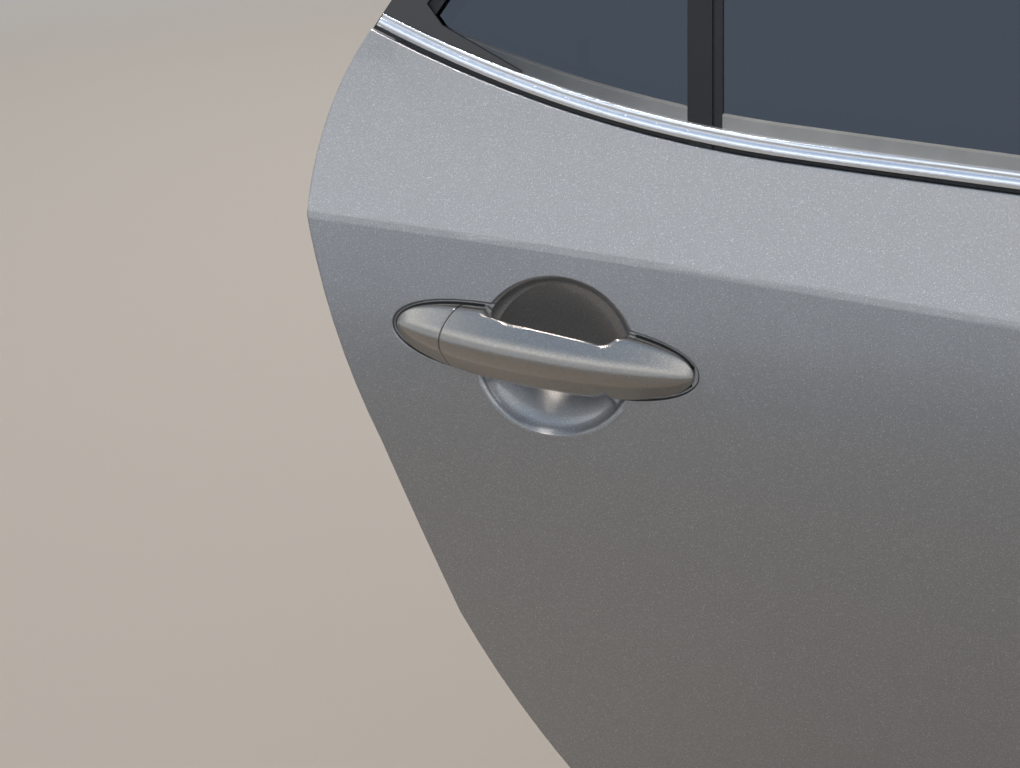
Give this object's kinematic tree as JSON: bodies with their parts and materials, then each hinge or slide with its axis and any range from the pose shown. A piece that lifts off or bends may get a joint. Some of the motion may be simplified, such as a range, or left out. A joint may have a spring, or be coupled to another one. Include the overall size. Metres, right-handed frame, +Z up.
{
  "type": "vehicle side door",
  "caption": "Rear side door of a small hatchback with framed window, sprung pull handle in a pressed recess, hinges, check arm, latch and interior trim.",
  "frame": {"origin": "centre of the upper hinge's bolt pattern, on the face that meets the pillar", "axes": "+X to the front of the car, +Y to its inside, +Z up; the outside of the door faces -Y"},
  "size_m": [0.8935, 0.2705, 1.0797],
  "materials": {
    "body_paint": "metallic grey paint",
    "body_paint_inner": "metallic grey paint, satin on the shut faces",
    "handle_paint": "warm silver paint on moulded plastic",
    "bright_trim": "bright",
    "gloss_black": "gloss",
    "black_satin": "satin black",
    "tinted_glass": "dark tint",
    "weathered_rubber": "weathered",
    "rubber": "matt",
    "trim_plastic": "grained",
    "trim_soft": "woven cloth over padding",
    "zinc_steel": "zinc plated",
    "dark_plastic": "moulded"
  },
  "bodies": {
    "pillar_side": {"pillar_leaf_upper": "zinc_steel", "pillar_leaf_lower": "zinc_steel", "hinge_pins": "zinc_steel", "check_bracket": "zinc_steel"},
    "check_arm": {"check_arm": "zinc_steel"},
    "door": {"arm_rest": "trim_plastic", "belt_moulding": "bright_trim", "belt_seal_foot": "rubber", "belt_seal_inner": "rubber", "belt_seal_outer": "weathered_rubber", "bump_stops": "rubber", "check_box": "dark_plastic", "corner_cover": "gloss_black", "division_bar": "black_satin", "door_leaf_lower": "zinc_steel", "door_leaf_upper": "zinc_steel", "glass_main": "tinted_glass", "glass_quarter": "tinted_glass", "handle_bracket_front": "dark_plastic", "handle_bracket_rear": "dark_plastic", "handle_cap": "handle_paint", "handle_gasket_front": "rubber", "handle_gasket_rear": "rubber", "inner_panel": "body_paint_inner", "inside_lever": "bright_trim", "latch_case": "zinc_steel", "latch_fork": "zinc_steel", "lever_bezel": "trim_plastic", "lock_knob": "trim_plastic", "map_pocket": "trim_plastic", "outer_skin": "body_paint", "pillar_cover": "gloss_black", "run_channel": "rubber", "shut_seal": "rubber", "speaker_grille": "trim_plastic", "trim_insert": "trim_soft", "trim_panel": "trim_plastic", "window_frame": "black_satin", "window_switch": "trim_plastic"},
    "grip": {"handle_grip": "handle_paint"}
  },
  "joints": [
    {"name": "door_swing", "type": "hinge", "parent": "pillar_side", "child": "door", "pos_m": [-0.027, -0.03, 0], "axis": [0, 0, 1], "range_deg": [0, 68]},
    {"name": "check_arm_swing", "type": "hinge", "parent": "pillar_side", "child": "check_arm", "pos_m": [-0.008, -0.012, -0.17], "axis": [0, 0, 1], "range_deg": [0, 40.2]},
    {"name": "grip_pull", "type": "hinge", "parent": "door", "child": "grip", "pos_m": [-0.59387, -0.0462, 0.10167], "axis": [0.0794, 0.1392, 0.9871], "range_deg": [0, 9], "stiffness_Nm_per_rad": 2, "springref_deg": -34.38}
  ],
  "couplings": [
    {"joint": "check_arm_swing", "follows": "door_swing", "ratio": 0.59}
  ]
}
